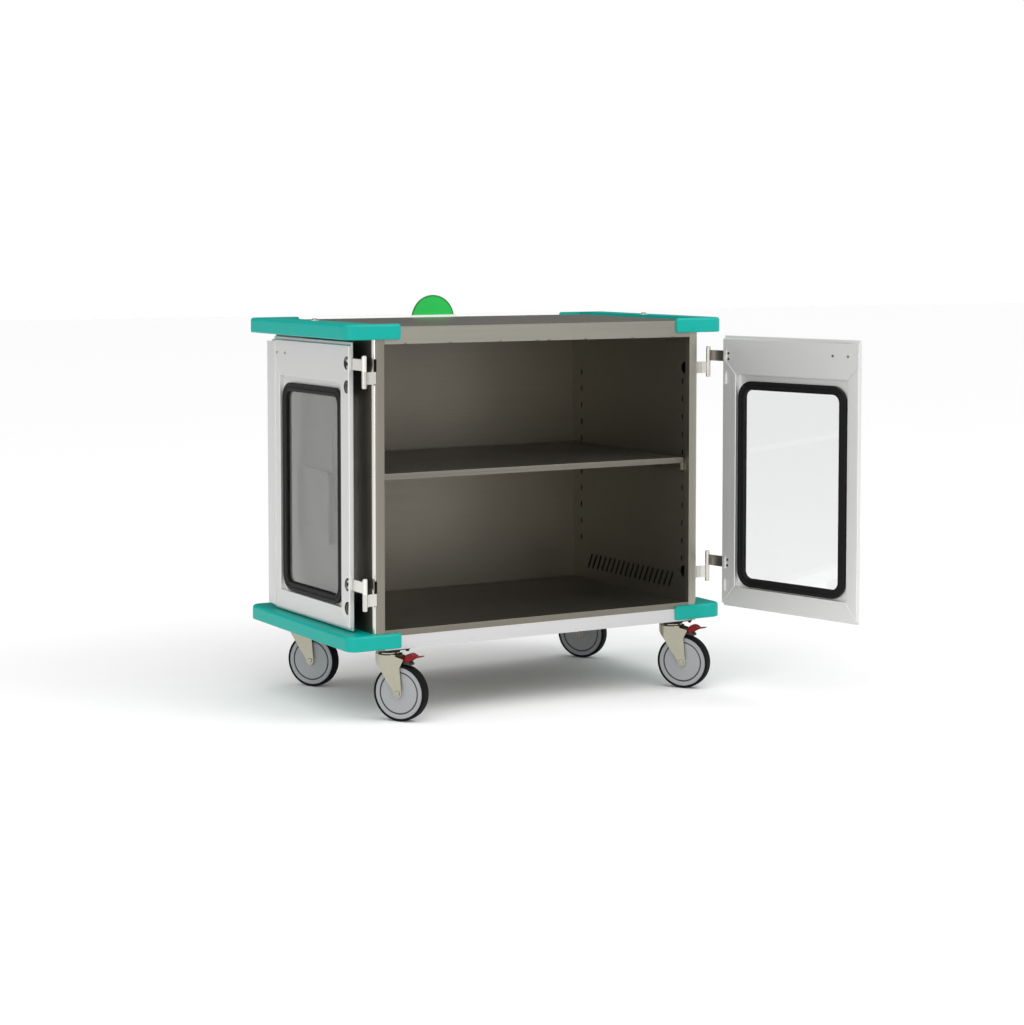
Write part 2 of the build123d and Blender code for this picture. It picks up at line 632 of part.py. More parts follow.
# Casters. All four trail the same way; each is drawn from its own swivel axis, ahead of its wheel.
across = Vector(cos(radians(swivel)), sin(radians(swivel)), 0)
ahead = Vector(-sin(radians(swivel)), cos(radians(swivel)), 0)
leg_outside = leg_gap + leg_thick
plate_pieces = []
for place, x, y in (
    ("front_left", -caster_x, -caster_y),
    ("front_right", caster_x, -caster_y),
    ("rear_left", -caster_x, caster_y),
    ("rear_right", caster_x, caster_y),
):
    swivel_top = Plane(origin=(x, y, 0), x_dir=across, z_dir=(0, 0, 1))
    wheel_side = Plane(origin=(x, y, 0), x_dir=ahead, z_dir=across)
    wheel_centre = Vector(x, y, wheel_radius) - ahead * trail
    axle_line = Plane(origin=wheel_centre, x_dir=across, z_dir=ahead)

    # Top plate with its raceway, kingpin and nut, bolted under the base.
    with BuildPart() as plate:
        with Locations((x, y, base_bottom - plate_thick / 2)):
            Box(95, 80, plate_thick)
        fillet(plate.edges().filter_by(Axis.Z), 8)
        with BuildSketch(Plane.XY.offset(fork_top + 0.3)):
            with Locations((x, y)):
                Circle(crown_radius + 2)
        extrude(amount=base_bottom - plate_thick - fork_top - 0.3)
        with BuildSketch(Plane.XY.offset(crown_low - 5)):
            with Locations((x, y)):
                Circle(kingpin_radius)
        extrude(amount=base_bottom - plate_thick - crown_low + 5)
        with BuildSketch(Plane.XY.offset(crown_low - 5.3)):
            with Locations((x, y)):
                RegularPolygon(10, 6)
        extrude(amount=5)
    plate_pieces.append(plate.part)
    for bolt_x in (-40, 40):
        for bolt_y in (-32, 32):
            with BuildPart() as plate_bolt:
                with BuildSketch(Plane.XY.offset(base_bottom - plate_thick - 5)):
                    with Locations((x + bolt_x, y + bolt_y)):
                        RegularPolygon(5, 6)
                extrude(amount=5)
            plate_pieces.append(plate_bolt.part)

    # Fork: a deep-drawn channel, round in front, cut back to the two legs that hold the axle.
    with BuildPart() as fork:
        with BuildSketch(swivel_top.offset(wheel_radius - 20)):
            with Locations((0, leg_front)):
                Circle(leg_outside)
            with Locations((0, (leg_front - leg_behind) / 2)):
                Rectangle(2 * leg_outside, leg_front + leg_behind)
            with Locations((0, leg_front)):
                Circle(leg_gap, mode=Mode.SUBTRACT)
            with Locations((0, (leg_front - leg_behind) / 2 - 1)):
                Rectangle(2 * leg_gap, leg_front + leg_behind + 2, mode=Mode.SUBTRACT)
        extrude(amount=fork_top - wheel_radius + 20)
        with BuildSketch(wheel_side.offset(-leg_outside - 5)):
            with BuildLine():
                leading = Spline(
                    (leg_front + leg_outside, 166), (25, 149), (leg_front, 135.5), (-1, 113),
                    (12 - trail, wheel_radius + 2), tangents=((0, -1), (-0.2, -1)),
                )
                eye = ThreePointArc(leading @ 1, (-trail, wheel_radius - 12), (-12 - trail, wheel_radius + 2))
                Polyline(
                    eye @ 1, (-44, 143), (-leg_behind, 162), (-leg_behind, 166), (-crown_radius, 172),
                    (-crown_radius, fork_top), (leg_front + leg_outside, fork_top), leading @ 0,
                )
            make_face()
        extrude(amount=2 * leg_outside + 10, mode=Mode.INTERSECT)
        with BuildSketch(swivel_top.offset(crown_low)):
            Circle(crown_radius)
            with Locations((0, leg_front)):
                Circle(leg_outside)
            with Locations((0, leg_front / 2)):
                Rectangle(2 * leg_outside, leg_front)
        extrude(amount=fork_top - crown_low)
        fillet(fork.faces().sort_by(Axis.Z)[-1].outer_wire().edges(), 1)
        with BuildSketch(swivel_top.offset(crown_low - 1)):
            Circle(kingpin_radius + 0.05)
        extrude(amount=10, mode=Mode.SUBTRACT)
        with BuildSketch(wheel_side.offset(-30)):
            with Locations((-trail, wheel_radius)):
                Circle(axle_radius)
        extrude(amount=60, mode=Mode.SUBTRACT)
    with BuildPart() as axle:
        with BuildSketch(wheel_side.offset(-leg_outside)):
            with Locations((-trail, wheel_radius)):
                Circle(axle_radius)
        extrude(amount=2 * leg_outside)
        for reach in (leg_outside, -leg_outside - 3):
            with BuildSketch(wheel_side.offset(reach)):
                with Locations((-trail, wheel_radius)):
                    Circle(7)
            extrude(amount=3)
    fork_pieces = [fork.part, axle.part]

    # Foot brake on the front casters: the shoe under the pedal comes down on the tyre.
    if place.startswith("front"):
        with BuildPart() as pedal_pin:
            with BuildSketch(wheel_side.offset(-leg_gap)):
                with Locations((-pedal_pin_behind, pedal_pin_height)):
                    Circle(2.5)
            extrude(amount=2 * leg_gap)
        fork_pieces.append(pedal_pin.part)
        with BuildPart() as pedal:
            with BuildSketch(wheel_side.offset(-13)):
                with Locations((-pedal_pin_behind, pedal_pin_height)):
                    Circle(5)
                with BuildLine():
                    Polyline(
                        (-34, 156.2), (-44, 151.8), (-58, 151.5), (-71, 148.8), (-71, 161), (-86, 168),
                        (-86, 171.5), (-80, 176),
                    )
                    ThreePointArc((-80, 176), (-69, 180), (-58, 176))
                    Polyline((-58, 176), (-55.5, 169), (-50, 165), (-34, 165.8), (-34, 156.2))
                make_face()
                with Locations((-pedal_pin_behind, pedal_pin_height)):
                    Circle(2.55, mode=Mode.SUBTRACT)
            extrude(amount=26)
            with BuildSketch(wheel_side.offset(-7)):
                with BuildLine():
                    Polyline((-84, 167.5), (-104, 173.5), (-104, 176), (-84, 171.5), (-84, 167.5))
                make_face()
            extrude(amount=14)
        pedal.part.label = f"brake_pedal_{place}"
        export_step(pedal.part, f"parts/brake_pedal_{place}.step")

    fork_group = Compound(label=f"caster_fork_{place}", children=fork_pieces)
    export_step(fork_group, f"parts/caster_fork_{place}.step")

    # Wheel centre: a rim ring, a narrow groove and a nearly flush disc with a small boss.
    rim_half = tyre_width / 2 - 1.5
    with BuildPart() as hub:
        with BuildSketch(axle_line):
            with BuildLine():
                Polyline(
                    (-rim_half, tyre_inner), (-rim_half, groove_outer), (2.5 - rim_half, groove_outer),
                    (2.5 - rim_half, groove_inner), (-rim_half, groove_inner), (-rim_half, 14), (-18, 12),
                    (-18, axle_radius + 0.05), (18, axle_radius + 0.05), (18, 12), (rim_half, 14),
                    (rim_half, groove_inner), (rim_half - 2.5, groove_inner), (rim_half - 2.5, groove_outer),
                    (rim_half, groove_outer), (rim_half, tyre_inner), (-rim_half, tyre_inner),
                )
            make_face()
        revolve(axis=Axis(wheel_centre, across))
    hub.part.label = f"wheel_hub_{place}"
    export_step(hub.part, f"parts/wheel_hub_{place}.step")

    with BuildPart() as tyre:
        tyre_half = tyre_width / 2
        with BuildSketch(axle_line):
            with BuildLine():
                Polyline(
                    (tyre_half, wheel_radius - 4), (tyre_half - 1.5, tyre_inner),
                    (1.5 - tyre_half, tyre_inner),
                    (-tyre_half, wheel_radius - 4),
                )
                ThreePointArc(
                    (-tyre_half, wheel_radius - 4), (1.3 - tyre_half, wheel_radius - 1.5),
                    (4 - tyre_half, wheel_radius - 0.5),
                )
                ThreePointArc(
                    (4 - tyre_half, wheel_radius - 0.5), (0, wheel_radius),
                    (tyre_half - 4, wheel_radius - 0.5),
                )
                ThreePointArc(
                    (tyre_half - 4, wheel_radius - 0.5), (tyre_half - 1.3, wheel_radius - 1.5),
                    (tyre_half, wheel_radius - 4),
                )
            make_face()
        revolve(axis=Axis(wheel_centre, across))
    tyre.part.label = f"tyre_{place}"
    export_step(tyre.part, f"parts/tyre_{place}.step")

caster_plates = Compound(label="caster_plates", children=plate_pieces)
export_step(caster_plates, "parts/caster_plates.step")
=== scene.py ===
import bpy
import json
from math import cos, pi, radians, sin
from mathutils import Matrix, Vector


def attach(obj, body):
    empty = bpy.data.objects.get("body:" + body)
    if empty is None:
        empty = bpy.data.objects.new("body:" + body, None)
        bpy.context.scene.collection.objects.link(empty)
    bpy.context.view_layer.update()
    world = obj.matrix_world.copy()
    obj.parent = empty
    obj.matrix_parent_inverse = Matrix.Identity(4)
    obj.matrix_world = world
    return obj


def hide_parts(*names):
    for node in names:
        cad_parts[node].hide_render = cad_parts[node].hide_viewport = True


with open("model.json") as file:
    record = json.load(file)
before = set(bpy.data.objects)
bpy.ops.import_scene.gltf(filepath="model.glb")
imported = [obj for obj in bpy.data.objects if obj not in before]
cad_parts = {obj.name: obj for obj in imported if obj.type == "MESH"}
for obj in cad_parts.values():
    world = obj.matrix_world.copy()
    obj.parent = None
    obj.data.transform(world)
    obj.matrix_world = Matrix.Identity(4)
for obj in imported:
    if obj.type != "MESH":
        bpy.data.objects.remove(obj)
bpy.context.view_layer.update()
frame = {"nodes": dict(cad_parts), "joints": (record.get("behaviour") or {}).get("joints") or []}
nodes = frame["nodes"]
joints = {joint["name"]: joint for joint in frame["joints"]}
mm = 0.001
print("frame loaded:", len(nodes), "nodes")


# small helpers for working in edit mode
def clearSelection():
    if bpy.context.mode != "OBJECT":
        bpy.ops.object.mode_set(mode="OBJECT")
    bpy.ops.object.select_all(action="DESELECT")


def startEdit(piece):
    clearSelection()
    piece.select_set(True)
    bpy.context.view_layer.objects.active = piece
    bpy.ops.object.mode_set(mode="EDIT")


def pick(piece, kind, test):
    # kind is "FACE" or "EDGE"; the test gets the middle and the normal, or the edge's two ends
    startEdit(piece)
    bpy.ops.mesh.select_mode(type=kind)
    bpy.ops.mesh.select_all(action="DESELECT")
    bpy.ops.object.mode_set(mode="OBJECT")
    mesh = piece.data
    if kind == "FACE":
        for face in mesh.polygons:
            face.select = bool(test(face.center, face.normal))
    else:
        for edge in mesh.edges:
            edge.select = bool(test(*(mesh.vertices[end].co for end in edge.vertices)))
    bpy.ops.object.mode_set(mode="EDIT")


def applyPlace(piece):
    clearSelection()
    piece.select_set(True)
    bpy.context.view_layer.objects.active = piece
    bpy.ops.object.transform_apply(location=True, rotation=True, scale=True)


def traceChain(name, points):
    # one vertex, extruded from point to point like a pencil line
    clearSelection()
    bpy.ops.mesh.primitive_plane_add(size=0.001, location=points[0])
    piece = bpy.context.active_object
    piece.name = piece.data.name = name
    bpy.ops.object.mode_set(mode="EDIT")
    bpy.ops.mesh.select_mode(type="VERT")
    bpy.ops.mesh.merge(type="CENTER")
    for here, there in zip(points, points[1:]):
        step = Vector(there) - Vector(here)
        bpy.ops.mesh.extrude_vertices_move(TRANSFORM_OT_translate={"value": step})
    applyPlace(piece)
    return piece


def traceLoop(name, points):
    # a closed line: the pencil line, with its first and last point joined
    piece = traceChain(name, [*points, points[0]])
    startEdit(piece)
    bpy.ops.mesh.select_all(action="SELECT")
    bpy.ops.mesh.remove_doubles(threshold=0.00001)
    clearSelection()
    return piece


def traceFace(name, points):
    piece = traceLoop(name, points)
    startEdit(piece)
    bpy.ops.mesh.select_all(action="SELECT")
    bpy.ops.mesh.edge_face_add()
    clearSelection()
    return piece


def thicken(piece, step):
    startEdit(piece)
    bpy.ops.mesh.select_all(action="SELECT")
    bpy.ops.mesh.extrude_region_move(TRANSFORM_OT_translate={"value": step})
    outward(piece)


def outward(piece):
    startEdit(piece)
    bpy.ops.mesh.select_all(action="SELECT")
    bpy.ops.mesh.normals_make_consistent(inside=False)
    clearSelection()


def prism(name, points, step):
    piece = traceFace(name, points)
    thicken(piece, step)
    return piece


def spinClosed(piece, steps, centre, axis):
    startEdit(piece)
    bpy.ops.mesh.select_all(action="SELECT")
    bpy.ops.mesh.spin(steps=steps, angle=2 * pi, center=centre, axis=axis)
    bpy.ops.mesh.select_all(action="SELECT")
    bpy.ops.mesh.remove_doubles(threshold=0.00001)
    outward(piece)


def loftLevels(name, levels):
    # closed outlines with equal numbers of points, from the bottom up, bridged and capped
    piece = joinPieces(name, [traceLoop(name, points) for points in levels])
    heights = [points[0][2] for points in levels]

    def pickLevels(*wanted):
        def onLevel(a, b):
            return abs(a.z - b.z) < 1e-5 and any(abs(a.z - level) < 1e-5 for level in wanted)

        pick(piece, "EDGE", onLevel)

    for low, high in zip(heights, heights[1:]):
        pickLevels(low, high)
        bpy.ops.mesh.bridge_edge_loops()
    for end in (heights[0], heights[-1]):
        pickLevels(end)
        bpy.ops.mesh.edge_face_add()
    outward(piece)
    return piece


def bevelEdges(piece, width, segments, test):
    pick(piece, "EDGE", test)
    bpy.ops.mesh.bevel(offset=width, segments=segments, affect="EDGES", clamp_overlap=True)
    clearSelection()


def softEdges(piece, width, segments=2, angle=30):
    clearSelection()
    bpy.context.view_layer.objects.active = piece
    piece.select_set(True)
    rounding = piece.modifiers.new("softEdges", "BEVEL")
    rounding.width = width
    rounding.segments = segments
    rounding.limit_method = "ANGLE"
    rounding.angle_limit = radians(angle)
    bpy.ops.object.modifier_apply(modifier=rounding.name)


def carve(piece, tool, operation):
    clearSelection()
    bpy.context.view_layer.objects.active = piece
    piece.select_set(True)
    cut = piece.modifiers.new("carve", "BOOLEAN")
    cut.operation = operation
    cut.object = tool
    bpy.ops.object.modifier_apply(modifier=cut.name)
    bpy.data.objects.remove(tool)


def smoothShade(piece, angle=35):
    clearSelection()
    bpy.context.view_layer.objects.active = piece
    piece.select_set(True)
    bpy.ops.object.shade_smooth_by_angle(angle=radians(angle))
    even = piece.modifiers.new("evenNormals", "WEIGHTED_NORMAL")
    even.keep_sharp = True
    bpy.ops.object.modifier_apply(modifier=even.name)


def paint(piece, material, test=None):
    # the whole piece, or only the faces that the test picks
    piece.data.materials.append(material)
    if test:
        pick(piece, "FACE", test)
        piece.active_material_index = len(piece.data.materials) - 1
        bpy.ops.object.material_slot_assign()
        clearSelection()


def joinPieces(name, pieces):
    clearSelection()
    for piece in pieces:
        piece.select_set(True)
    bpy.context.view_layer.objects.active = pieces[0]
    if len(pieces) > 1:
        bpy.ops.object.join()
    whole = bpy.context.active_object
    whole.name = whole.data.name = name
    return whole


def placeCopy(model, name, place):
    # its own mesh, moved to its place, turned the right way out again where the place mirrors it
    clearSelection()
    model.select_set(True)
    bpy.context.view_layer.objects.active = model
    bpy.ops.object.duplicate(linked=False)
    copy = bpy.context.active_object
    copy.name = copy.data.name = name
    copy.matrix_world = place
    applyPlace(copy)
    if place.determinant() < 0:
        outward(copy)
        smoothShade(copy)
    return copy


def stands(piece, body, *names):
    # the finished piece goes with its body and stands for these CAD nodes
    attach(piece, body)
    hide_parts(*names)


def roundedCopy(name, body, width, segments=2, shortest=20 * mm):
    # a merged copy of a CAD node, its long sharp edges rounded off, so that rims and seams catch the light
    clearSelection()
    source = nodes[name]
    source.select_set(True)
    bpy.context.view_layer.objects.active = source
    bpy.ops.object.duplicate(linked=False)
    copy = bpy.context.active_object
    copy.name = copy.data.name = "rounded" + name.title().replace("_", "")
    startEdit(copy)
    bpy.ops.mesh.select_all(action="SELECT")
    bpy.ops.mesh.remove_doubles(threshold=0.00001)
    bpy.ops.mesh.dissolve_limited(angle_limit=radians(1))
    bpy.ops.mesh.select_mode(type="EDGE")
    bpy.ops.mesh.select_all(action="DESELECT")
    bpy.ops.mesh.edges_select_sharp(sharpness=radians(40))
    bpy.ops.object.mode_set(mode="OBJECT")
    corners = copy.data.vertices
    for edge in copy.data.edges:
        here, there = edge.vertices
        if (corners[here].co - corners[there].co).length < shortest:
            edge.select = False
    bpy.ops.object.mode_set(mode="EDIT")
    bpy.ops.mesh.bevel(offset=width, segments=segments, affect="EDGES", clamp_overlap=False)
    clearSelection()
    smoothShade(copy)
    stands(copy, body, name)
    return copy


def arcPoints(centre, radius, fromDegrees, toDegrees, steps):
    turns = [radians(fromDegrees + (toDegrees - fromDegrees) * step / steps) for step in range(steps + 1)]
    return [(centre[0] + radius * cos(turn), centre[1] + radius * sin(turn)) for turn in turns]


# small helpers for materials
def linearColour(hexText):
    shares = [int(hexText[start:start + 2], 16) / 255 for start in (1, 3, 5)]
    return [share / 12.92 if share <= 0.04045 else ((share + 0.055) / 1.055) ** 2.4 for share in shares] + [1]


def addNode(tree, kind, links=None, **settings):
    node = tree.nodes.new(kind)
    for name, value in settings.items():
        setattr(node, name, value)
    for socket, value in (links or {}).items():
        if isinstance(value, bpy.types.NodeSocket):
            tree.links.new(value, node.inputs[socket])
        else:
            node.inputs[socket].default_value = value
    return node


def newMaterial(name, **sockets):
    # sockets: the shader's own constants, named with underscores for spaces
    material = bpy.data.materials.new(name)
    material.use_nodes = True
    shader = material.node_tree.nodes["Principled BSDF"]
    for socket, value in sockets.items():
        shader.inputs[socket.replace("_", " ")].default_value = value
    return material, material.node_tree, shader


def wire(tree, shader, tint, gloss, relief):
    tree.links.new(tint.outputs[2], shader.inputs["Base Color"])
    tree.links.new(gloss.outputs[0], shader.inputs["Roughness"])
    tree.links.new(relief.outputs[0], shader.inputs["Normal"])


def dress(material, name):
    # every slot of a CAD node gets the material
    slots = nodes[name].data.materials
    if not slots:
        slots.append(material)
    for slotIndex in range(len(slots)):
        slots[slotIndex] = material


# AISI 304 stainless sheet, belt-brushed: a warm grey satin with faint streaks along the grain.
# The grit leaves lines about 0.2 mm apart, drawn 4 mm apart so that they show from a few steps away.
stainless = {"light": "#a8a499", "dark": "#98948a", "roughness": (0.36, 0.46), "streak": 4 * mm,
             "length": 600 * mm}


def brushedStainless(name, grain, light=stainless["light"], dark=stainless["dark"]):
    material, tree, shader = newMaterial(name, Metallic=1.0)
    stretch = [1 / stainless["streak"]] * 3
    stretch["XYZ".index(grain)] = 1 / stainless["length"]
    coords = addNode(tree, "ShaderNodeTexCoord")
    mapping = addNode(tree, "ShaderNodeMapping", {"Vector": coords.outputs["Object"], "Scale": stretch})
    streaks = addNode(tree, "ShaderNodeTexNoise", {"Vector": mapping.outputs[0], "Scale": 1.0, "Detail": 6.0})
    clouds = addNode(tree, "ShaderNodeTexNoise", {"Vector": coords.outputs["Object"], "Scale": 3.5,
                                                  "Detail": 2.0})
    tint = addNode(tree, "ShaderNodeMix", {"Factor": streaks.outputs["Fac"], 6: linearColour(dark),
                                           7: linearColour(light)}, data_type="RGBA")
    blend = addNode(tree, "ShaderNodeMath", {0: streaks.outputs["Fac"], 1: clouds.outputs["Fac"]},
                    operation="MULTIPLY")
    gloss = addNode(tree, "ShaderNodeMapRange", {"Value": blend.outputs[0], "From Min": 0.1, "From Max": 0.4,
                                                 "To Min": stainless["roughness"][0],
                                                 "To Max": stainless["roughness"][1]})
    relief = addNode(tree, "ShaderNodeBump", {"Height": streaks.outputs["Fac"], "Strength": 0.05,
                                              "Distance": 0.2 * mm})
    wire(tree, shader, tint, gloss, relief)
    return material


# Extruded aluminium, satin anodised: pale, even, with very fine die lines along each length.
# The lines are drawn 2 mm apart, coarser than real ones, so that they show.
aluminium = {"light": "#e6e6e5", "dark": "#dadad9", "roughness": (0.5, 0.58), "line": 2 * mm,
             "length": 900 * mm}


def anodisedAluminium(name, grain, light=aluminium["light"], dark=aluminium["dark"]):
    material, tree, shader = newMaterial(name, Metallic=1.0)
    stretch = [1 / aluminium["line"]] * 3
    stretch["XYZ".index(grain)] = 1 / aluminium["length"]
    coords = addNode(tree, "ShaderNodeTexCoord")
    mapping = addNode(tree, "ShaderNodeMapping", {"Vector": coords.outputs["Object"], "Scale": stretch})
    lines = addNode(tree, "ShaderNodeTexNoise", {"Vector": mapping.outputs[0], "Scale": 1.0, "Detail": 4.0})
    tint = addNode(tree, "ShaderNodeMix", {"Factor": lines.outputs["Fac"], 6: linearColour(dark),
                                           7: linearColour(light)}, data_type="RGBA")
    gloss = addNode(tree, "ShaderNodeMapRange", {"Value": lines.outputs["Fac"],
                                                 "To Min": aluminium["roughness"][0],
                                                 "To Max": aluminium["roughness"][1]})
    relief = addNode(tree, "ShaderNodeBump", {"Height": lines.outputs["Fac"], "Strength": 0.04,
                                              "Distance": 0.1 * mm})
    wire(tree, shader, tint, gloss, relief)
    return material


# Moulded or plated surfaces: an even colour that drifts a little, with a fine grain in the surface.
def grainedSurface(name, light, dark, grainSize, roughness, relief=0.08, **sockets):
    material, tree, shader = newMaterial(name, **sockets)
    coords = addNode(tree, "ShaderNodeTexCoord")
    drift = addNode(tree, "ShaderNodeTexNoise", {"Vector": coords.outputs["Object"], "Scale": 9.0,
                                                 "Detail": 3.0})
    grain = addNode(tree, "ShaderNodeTexNoise", {"Vector": coords.outputs["Object"], "Scale": 1 / grainSize,
                                                 "Detail": 2.0})
    tint = addNode(tree, "ShaderNodeMix", {"Factor": drift.outputs["Fac"], 6: linearColour(dark),
                                           7: linearColour(light)}, data_type="RGBA")
    gloss = addNode(tree, "ShaderNodeMapRange", {"Value": grain.outputs["Fac"], "To Min": roughness - 0.05,
                                                 "To Max": roughness + 0.05})
    bump = addNode(tree, "ShaderNodeBump", {"Height": grain.outputs["Fac"], "Strength": relief,
                                            "Distance": 0.3 * mm})
    wire(tree, shader, tint, gloss, bump)
    return material


# Polyurethane bumper, moulded: bright sea green, soft sheen, fine leathery grain of about 1.5 mm
bumperPlastic = grainedSurface("mouldedPolyurethane", "#00a095", "#00968a", 1.5 * mm, 0.38, IOR=1.45,
                               Specular_IOR_Level=0.26)
# EPDM glazing seal, extruded: deep black with a dull sheen
sealRubber = grainedSurface("extrudedRubber", "#0c0c0c", "#070707", 1.0 * mm, 0.5, IOR=1.45,
                            Specular_IOR_Level=0.25)
# Thermoplastic rubber tyre, moulded: near black and matt
tyreRubber = grainedSurface("mouldedTyreRubber", "#100f10", "#0b0b0b", 2.0 * mm, 0.75, IOR=1.45,
                            Specular_IOR_Level=0.15)
# Polypropylene wheel centre, moulded: mid grey and dull; the faces in its groove are painted darker, a
# painted shade
wheelPlastic = grainedSurface("mouldedPolypropylene", "#98999b", "#8f9092", 1.5 * mm, 0.5, IOR=1.49)
grooveShadePlastic = grainedSurface("shadedPolypropylene", "#3c3d3f", "#343537", 1.5 * mm, 0.6, IOR=1.49)
# Zinc-plated pressed steel, clear passivated: pale, slightly yellow, with a soft grain; a near-black copy is
# painted shade on the swivel head and crown neck under the bumper
zincPlate = grainedSurface("zincPlatedSteel", "#b2af9f", "#9c998a", 3.0 * mm, 0.25, 0.04, Metallic=0.95)
shadeBlackZinc = grainedSurface("paintedShadeRaceway", "#1d1c1a", "#141312", 2.0 * mm, 0.5, 0.04, Metallic=0.5)
# Glass-filled nylon pedal, moulded: signal red with a black shoe, half gloss
redNylon = grainedSurface("mouldedRedNylon", "#760a11", "#68080d", 1.0 * mm, 0.42, IOR=1.45,
                          Specular_IOR_Level=0.25)
blackNylon = grainedSurface("mouldedBlackNylon", "#161616", "#101010", 1.0 * mm, 0.45, IOR=1.53)
# Acrylic disc, cut from sheet: clean green, smooth
greenAcrylic = grainedSurface("castGreenAcrylic", "#12c050", "#0eb648", 4.0 * mm, 0.25, 0.0, IOR=1.49)
rimAcrylic = grainedSurface("castDarkGreenAcrylic", "#07862c", "#067a28", 4.0 * mm, 0.3, 0.0, IOR=1.49)
# Powder-coated steel: white with a faint orange peel
whiteCoat = grainedSurface("powderCoatedWhite", "#f2f2f0", "#ececea", 1.2 * mm, 0.4, 0.1, IOR=1.5)

# Polycarbonate sheet: clear, with a faint grey body, glossy both sides
clearSheet, _, _ = newMaterial("clearPolycarbonate", Base_Color=linearColour("#f4f5f5"),
                               Transmission_Weight=1.0, Roughness=0.02, IOR=1.585)

# The outside frame is belt-brushed; the left front post gets a darker copy as painted shade. The body sheets,
# linings, shelf parts, rear panel and floor pan get darker copies too, painted shade of the cabinet's inside
# and sides.
steelAlongX = brushedStainless("brushedStainlessAcross", "X", "#9d9a90", "#8f8c83")
steelAlongZ = brushedStainless("brushedStainlessUpright", "Z")
shadedAlongZ = brushedStainless("shadedStainlessUpright", "Z", "#8d897f", "#7e7a71")
shadedAlongX = brushedStainless("shadedStainlessAcross", "X", "#827e74", "#767269")
shadedAlongY = brushedStainless("shadedStainlessDeep", "Y", "#67645b", "#5b5850")
shadedLiningSteel = brushedStainless("shadedStainlessLining", "Y", "#9a968b", "#8d8a7f")
deckSteel = brushedStainless("millStainlessDeck", "X", "#96948b", "#8b8980")
hingeSteel = grainedSurface("polishedHingeSteel", "#d3d1ca", "#c6c4bd", 3.0 * mm, 0.24, 0.02, Metallic=1.0)
# Bright zinc: the stud washers, and the left door's hinge leaves, where its lighter tone is a painted
# highlight
brightZincAndHighlight = grainedSurface("brightZincPlateAndHighlight", "#e9e8e2", "#dddcd5", 2.0 * mm, 0.35, 0.04, Metallic=0.85)
# The rolled corner of each post is smoother than its face, and painted lighter: a painted highlight, a
# brighter, sharper line of light
highlightEdgeSteel = grainedSurface("rolledStainlessEdgeHighlight", "#dedbd3", "#d4d1c9", 3.0 * mm, 0.22, 0.02, Metallic=1.0)
# The pocket floors of the left door: smooth, and painted darker than the frame round them, a painted shade
# and dark reflection
pocketShadeCap = grainedSurface("pressedStainlessCapShade", "#7c7a76", "#72706c", 2.0 * mm, 0.2, 0.03, Metallic=1.0)
aluAlongX = anodisedAluminium("anodisedAluminiumAcross", "X")
# a darker copy for the base rails: painted shade
shadedBaseAluminium = anodisedAluminium("shadedAnodisedAluminiumBase", "X", "#d2d2d2", "#c8c8c8")
aluAlongZ = anodisedAluminium("anodisedAluminiumUpright", "Z")
print("materials ready")

for name in nodes:
    if name in ("front_post_right", "rear_frame"):
        dress(steelAlongZ, name)
    elif name == "front_post_left":
        dress(shadedAlongZ, name)
    elif name == "wall_liners":
        dress(shadedLiningSteel, name)
    elif name in ("side_skins", "document_pocket", "shelf_runners", "shelf_fixed_rails"):
        dress(shadedAlongY, name)
    elif name in ("rear_panel", "floor_pan", "shelf"):
        dress(shadedAlongX, name)
    elif name == "top_deck":
        dress(deckSteel, name)
    elif name.endswith(("door_stiles", "stop_strip")):
        dress(aluAlongZ, name)
    elif name.endswith(("door_rails", "door_panel")):
        dress(aluAlongX, name)
    elif name in ("base_front_rail", "base_rails"):
        dress(shadedBaseAluminium, name)
    elif name.endswith("door_window"):
        dress(clearSheet, name)
    # the left door's hinge leaves are painted lighter than the other hinges, a painted highlight
    elif name == "left_door_hinge_leaves":
        dress(brightZincAndHighlight, name)
    elif "hinge" in name:
        dress(hingeSteel, name)
    elif any(word in name for word in ("shelf_", "bolt", "handle", "latch")):
        dress(zincPlate, name)
    elif name == "disc_bracket":
        dress(whiteCoat, name)
    else:
        dress(steelAlongX, name)

# Casters, modelled once about the swivel axis: x across, y ahead, z up from the floor
wheel = {"radius": 75 * mm, "behind": 38 * mm, "groove": (52.6 * mm, 56.4 * mm), "grooveFace": 13.95 * mm,
         "steps": 64}
axleAt = (0, -wheel["behind"], wheel["radius"])


def spunRing(name, profile):
    # profile: (across, radius) pairs in mm, spun about the axle
    ring = traceLoop(name, [(across * mm, axleAt[1], axleAt[2] + radius * mm) for across, radius in profile])
    spinClosed(ring, wheel["steps"], axleAt, (1, 0, 0))
    return ring


# faces in the hub's groove, which get the painted shade
def inGrooveShade(middle, normal):
    out = Vector((0, middle.y - axleAt[1], middle.z - axleAt[2])).length
    return wheel["groove"][0] < out < wheel["groove"][1] and abs(middle.x) < wheel["grooveFace"]


tyreModel = spunRing("tyreModel", [
    (-14.5, 68), (-16, 69), (-16, 71), (-15.6, 72.6), (-14.2, 73.8), (-12, 74.5), (-6, 74.9), (0, 75),
    (6, 74.9), (12, 74.5), (14.2, 73.8), (15.6, 72.6), (16, 71), (16, 69), (14.5, 68)])
paint(tyreModel, tyreRubber)
smoothShade(tyreModel)
hubModel = spunRing("hubModel", [
    (-13.8, 68), (-14.5, 67.2), (-14.5, 57.4), (-13.9, 56.5), (-12, 56.3), (-12, 52.7), (-13.9, 52.5),
    (-14.5, 51.6), (-14.2, 30), (-14.5, 16), (-15, 14), (-17.4, 12.5), (-18, 11.8), (-18, 5.1),
    (18, 5.1), (18, 11.8), (17.4, 12.5), (15, 14), (14.5, 16), (14.2, 30), (14.5, 51.6), (13.9, 52.5),
    (12, 52.7), (12, 56.3), (13.9, 56.5), (14.5, 57.4), (14.5, 67.2), (13.8, 68)])
paint(hubModel, wheelPlastic)
# the groove's faces get the painted shade
paint(hubModel, grooveShadePlastic, inGrooveShade)
smoothShade(hubModel)

